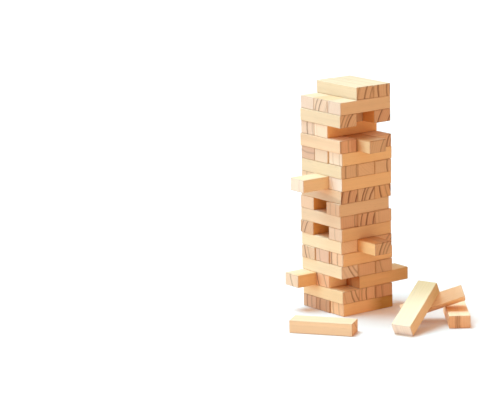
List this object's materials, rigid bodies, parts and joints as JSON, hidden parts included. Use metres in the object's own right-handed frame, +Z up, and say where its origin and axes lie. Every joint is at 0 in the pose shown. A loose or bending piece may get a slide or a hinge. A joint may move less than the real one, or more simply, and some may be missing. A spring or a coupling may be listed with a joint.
{
  "type": "giant tumbling tower",
  "caption": "Giant stacking game of bevelled timber blocks in crossed layers of three, caught in mid-game with some blocks pushed out and some drawn and set down beside it.",
  "frame": {"origin": "on the ground at the centre of the tower's bottom layer", "axes": "+Z up; odd layers lie along X, even layers along Y"},
  "size_m": [0.5444, 0.5795, 0.6858],
  "materials": {
    "pine_pale": "pale sanded pine, unvarnished, with brown growth lines",
    "pine_honey": "honey-coloured sanded pine, unvarnished",
    "pine_rosy": "pinkish sanded pine heartwood, unvarnished"
  },
  "bodies": {
    "block_01_front": {"block_01_front": "pine_honey"},
    "block_01_middle": {"block_01_middle": "pine_pale"},
    "block_01_back": {"block_01_back": "pine_pale"},
    "block_02_left": {"block_02_left": "pine_honey"},
    "block_02_middle": {"block_02_middle": "pine_pale"},
    "block_02_right": {"block_02_right": "pine_rosy"},
    "block_03_front": {"block_03_front": "pine_honey"},
    "block_03_middle": {"block_03_middle": "pine_pale"},
    "block_03_back": {"block_03_back": "pine_pale"},
    "block_04_left": {"block_04_left": "pine_pale"},
    "block_04_middle": {"block_04_middle": "pine_pale"},
    "block_04_right": {"block_04_right": "pine_pale"},
    "block_05_front": {"block_05_front": "pine_honey"},
    "block_05_middle": {"block_05_middle": "pine_rosy"},
    "block_05_back": {"block_05_back": "pine_pale"},
    "block_06_left": {"block_06_left": "pine_pale"},
    "block_06_middle": {"block_06_middle": "pine_pale"},
    "block_06_right": {"block_06_right": "pine_rosy"},
    "block_07_front": {"block_07_front": "pine_honey"},
    "block_07_back": {"block_07_back": "pine_pale"},
    "block_08_left": {"block_08_left": "pine_pale"},
    "block_08_middle": {"block_08_middle": "pine_rosy"},
    "block_08_right": {"block_08_right": "pine_pale"},
    "block_09_front": {"block_09_front": "pine_pale"},
    "block_09_back": {"block_09_back": "pine_honey"},
    "block_10_left": {"block_10_left": "pine_rosy"},
    "block_10_middle": {"block_10_middle": "pine_pale"},
    "block_10_right": {"block_10_right": "pine_honey"},
    "block_11_front": {"block_11_front": "pine_honey"},
    "block_11_middle": {"block_11_middle": "pine_pale"},
    "block_11_back": {"block_11_back": "pine_pale"},
    "block_12_left": {"block_12_left": "pine_pale"},
    "block_12_middle": {"block_12_middle": "pine_pale"},
    "block_12_right": {"block_12_right": "pine_pale"},
    "block_13_front": {"block_13_front": "pine_honey"},
    "block_13_middle": {"block_13_middle": "pine_pale"},
    "block_13_back": {"block_13_back": "pine_rosy"},
    "block_14_left": {"block_14_left": "pine_rosy"},
    "block_14_middle": {"block_14_middle": "pine_pale"},
    "block_14_right": {"block_14_right": "pine_pale"},
    "block_15_middle": {"block_15_middle": "pine_pale"},
    "block_15_back": {"block_15_back": "pine_pale"},
    "block_16_left": {"block_16_left": "pine_pale"},
    "block_16_middle": {"block_16_middle": "pine_pale"},
    "block_16_right": {"block_16_right": "pine_rosy"},
    "block_17_front": {"block_17_front": "pine_pale"},
    "block_17_middle": {"block_17_middle": "pine_honey"},
    "block_17_back": {"block_17_back": "pine_pale"},
    "block_18_middle": {"block_18_middle": "pine_pale"},
    "block_18_right": {"block_18_right": "pine_pale"},
    "loose_block_flat": {"loose_block_flat": "pine_pale"},
    "loose_block_low": {"loose_block_low": "pine_pale"},
    "loose_block_tilted": {"loose_block_tilted": "pine_pale"},
    "loose_block_leaning": {"loose_block_leaning": "pine_pale"}
  },
  "joints": [
    {"name": "block_01_front_slide", "type": "slide", "parent": "block_01_middle", "child": "block_01_front", "axis": [1, 0, 0], "range_m": [0, 0.1962]},
    {"name": "block_01_back_slide", "type": "slide", "parent": "block_01_middle", "child": "block_01_back", "axis": [1, 0, 0], "range_m": [-0.2, 0.2]},
    {"name": "block_02_left_slide", "type": "slide", "parent": "block_01_middle", "child": "block_02_left", "axis": [0, 1, 0], "range_m": [0, 0.2]},
    {"name": "block_02_middle_slide", "type": "slide", "parent": "block_01_middle", "child": "block_02_middle", "axis": [0, 1, 0], "range_m": [0, 0.2]},
    {"name": "block_02_right_slide", "type": "slide", "parent": "block_01_middle", "child": "block_02_right", "axis": [0, 1, 0], "range_m": [0, 0.2038]},
    {"name": "block_03_front_slide", "type": "slide", "parent": "block_01_middle", "child": "block_03_front", "axis": [1, 0, 0], "range_m": [-0.2648, 0.1352]},
    {"name": "block_03_middle_slide", "type": "slide", "parent": "block_01_middle", "child": "block_03_middle", "axis": [1, 0, 0], "range_m": [-0.2, 0.2]},
    {"name": "block_03_back_slide", "type": "slide", "parent": "block_01_middle", "child": "block_03_back", "axis": [1, 0, 0], "range_m": [-0.1314, 0.2686]},
    {"name": "block_04_left_slide", "type": "slide", "parent": "block_01_middle", "child": "block_04_left", "axis": [0, 1, 0], "range_m": [0, 0.1962]},
    {"name": "block_04_middle_slide", "type": "slide", "parent": "block_01_middle", "child": "block_04_middle", "axis": [0, 1, 0], "range_m": [0, 0.2]},
    {"name": "block_04_right_slide", "type": "slide", "parent": "block_01_middle", "child": "block_04_right", "axis": [0, 1, 0], "range_m": [0, 0.2038]},
    {"name": "block_05_front_slide", "type": "slide", "parent": "block_01_middle", "child": "block_05_front", "axis": [1, 0, 0], "range_m": [-0.2038, 0.1962]},
    {"name": "block_05_middle_slide", "type": "slide", "parent": "block_01_middle", "child": "block_05_middle", "axis": [1, 0, 0], "range_m": [-0.2, 0.2]},
    {"name": "block_05_back_slide", "type": "slide", "parent": "block_01_middle", "child": "block_05_back", "axis": [1, 0, 0], "range_m": [-0.1962, 0.2038]},
    {"name": "block_06_left_slide", "type": "slide", "parent": "block_01_middle", "child": "block_06_left", "axis": [0, 1, 0], "range_m": [-0.2038, 0.1962]},
    {"name": "block_06_middle_slide", "type": "slide", "parent": "block_01_middle", "child": "block_06_middle", "axis": [0, 1, 0], "range_m": [-0.1238, 0.2762]},
    {"name": "block_06_right_slide", "type": "slide", "parent": "block_01_middle", "child": "block_06_right", "axis": [0, 1, 0], "range_m": [-0.1981, 0.2019]},
    {"name": "block_07_front_slide", "type": "slide", "parent": "block_01_middle", "child": "block_07_front", "axis": [1, 0, 0], "range_m": [-0.2, 0.2]},
    {"name": "block_07_back_slide", "type": "slide", "parent": "block_01_middle", "child": "block_07_back", "axis": [1, 0, 0], "range_m": [-0.1981, 0.2019]},
    {"name": "block_08_left_slide", "type": "slide", "parent": "block_01_middle", "child": "block_08_left", "axis": [0, 1, 0], "range_m": [-0.2057, 0.1943]},
    {"name": "block_08_middle_slide", "type": "slide", "parent": "block_01_middle", "child": "block_08_middle", "axis": [0, 1, 0], "range_m": [-0.2, 0.2]},
    {"name": "block_08_right_slide", "type": "slide", "parent": "block_01_middle", "child": "block_08_right", "axis": [0, 1, 0], "range_m": [-0.1981, 0.2019]},
    {"name": "block_09_front_slide", "type": "slide", "parent": "block_01_middle", "child": "block_09_front", "axis": [1, 0, 0], "range_m": [-0.1943, 0.2057]},
    {"name": "block_09_back_slide", "type": "slide", "parent": "block_01_middle", "child": "block_09_back", "axis": [1, 0, 0], "range_m": [-0.2, 0.2]},
    {"name": "block_10_left_slide", "type": "slide", "parent": "block_01_middle", "child": "block_10_left", "axis": [0, 1, 0], "range_m": [-0.2029, 0.1971]},
    {"name": "block_10_middle_slide", "type": "slide", "parent": "block_01_middle", "child": "block_10_middle", "axis": [0, 1, 0], "range_m": [-0.2, 0.2]},
    {"name": "block_10_right_slide", "type": "slide", "parent": "block_01_middle", "child": "block_10_right", "axis": [0, 1, 0], "range_m": [-0.2, 0.2]},
    {"name": "block_11_front_slide", "type": "slide", "parent": "block_01_middle", "child": "block_11_front", "axis": [1, 0, 0], "range_m": [-0.2019, 0.1981]},
    {"name": "block_11_middle_slide", "type": "slide", "parent": "block_01_middle", "child": "block_11_middle", "axis": [1, 0, 0], "range_m": [-0.1076, 0.2924]},
    {"name": "block_11_back_slide", "type": "slide", "parent": "block_01_middle", "child": "block_11_back", "axis": [1, 0, 0], "range_m": [-0.2, 0.2]},
    {"name": "block_12_left_slide", "type": "slide", "parent": "block_01_middle", "child": "block_12_left", "axis": [0, 1, 0], "range_m": [-0.2, 0.2]},
    {"name": "block_12_middle_slide", "type": "slide", "parent": "block_01_middle", "child": "block_12_middle", "axis": [0, 1, 0], "range_m": [-0.2, 0.2]},
    {"name": "block_12_right_slide", "type": "slide", "parent": "block_01_middle", "child": "block_12_right", "axis": [0, 1, 0], "range_m": [-0.1971, 0.2029]},
    {"name": "block_13_front_slide", "type": "slide", "parent": "block_01_middle", "child": "block_13_front", "axis": [1, 0, 0], "range_m": [-0.2038, 0.1962]},
    {"name": "block_13_middle_slide", "type": "slide", "parent": "block_01_middle", "child": "block_13_middle", "axis": [1, 0, 0], "range_m": [-0.2, 0.2]},
    {"name": "block_13_back_slide", "type": "slide", "parent": "block_01_middle", "child": "block_13_back", "axis": [1, 0, 0], "range_m": [-0.2, 0.2]},
    {"name": "block_14_left_slide", "type": "slide", "parent": "block_01_middle", "child": "block_14_left", "axis": [0, 1, 0], "range_m": [-0.2, 0.2]},
    {"name": "block_14_middle_slide", "type": "slide", "parent": "block_01_middle", "child": "block_14_middle", "axis": [0, 1, 0], "range_m": [-0.1448, 0.2552]},
    {"name": "block_14_right_slide", "type": "slide", "parent": "block_01_middle", "child": "block_14_right", "axis": [0, 1, 0], "range_m": [-0.1971, 0.2029]},
    {"name": "block_15_middle_slide", "type": "slide", "parent": "block_01_middle", "child": "block_15_middle", "axis": [1, 0, 0], "range_m": [-0.2, 0.2]},
    {"name": "block_15_back_slide", "type": "slide", "parent": "block_01_middle", "child": "block_15_back", "axis": [1, 0, 0], "range_m": [-0.2, 0.2]},
    {"name": "block_16_left_slide", "type": "slide", "parent": "block_01_middle", "child": "block_16_left", "axis": [0, 1, 0], "range_m": [-0.2, 0.2]},
    {"name": "block_16_middle_slide", "type": "slide", "parent": "block_01_middle", "child": "block_16_middle", "axis": [0, 1, 0], "range_m": [-0.2514, 0.1486]},
    {"name": "block_16_right_slide", "type": "slide", "parent": "block_01_middle", "child": "block_16_right", "axis": [0, 1, 0], "range_m": [-0.2, 0.2]},
    {"name": "block_17_front_slide", "type": "slide", "parent": "block_01_middle", "child": "block_17_front", "axis": [1, 0, 0], "range_m": [-0.2, 0.2]},
    {"name": "block_17_middle_slide", "type": "slide", "parent": "block_01_middle", "child": "block_17_middle", "axis": [1, 0, 0], "range_m": [-0.2, 0.2]},
    {"name": "block_17_back_slide", "type": "slide", "parent": "block_01_middle", "child": "block_17_back", "axis": [1, 0, 0], "range_m": [-0.2, 0.2]},
    {"name": "block_18_middle_lift", "type": "slide", "parent": "block_01_middle", "child": "block_18_middle", "axis": [0, 0, 1], "range_m": [0, 0.15]},
    {"name": "block_18_right_lift", "type": "slide", "parent": "block_01_middle", "child": "block_18_right", "axis": [0, 0, 1], "range_m": [0, 0.15]},
    {"name": "loose_block_flat_lift", "type": "slide", "parent": "block_01_middle", "child": "loose_block_flat", "axis": [0, 0, 1], "range_m": [0, 0.15]},
    {"name": "loose_block_low_slide", "type": "slide", "parent": "block_01_middle", "child": "loose_block_low", "axis": [-0.5878, -0.809, 0], "range_m": [0, 0.2]},
    {"name": "loose_block_tilted_slide", "type": "slide", "parent": "block_01_middle", "child": "loose_block_tilted", "axis": [0.7821, -0.5476, 0.2974], "range_m": [0, 0.2]},
    {"name": "loose_block_leaning_lift", "type": "slide", "parent": "block_01_middle", "child": "loose_block_leaning", "axis": [0, 0, 1], "range_m": [0, 0.15]}
  ]
}
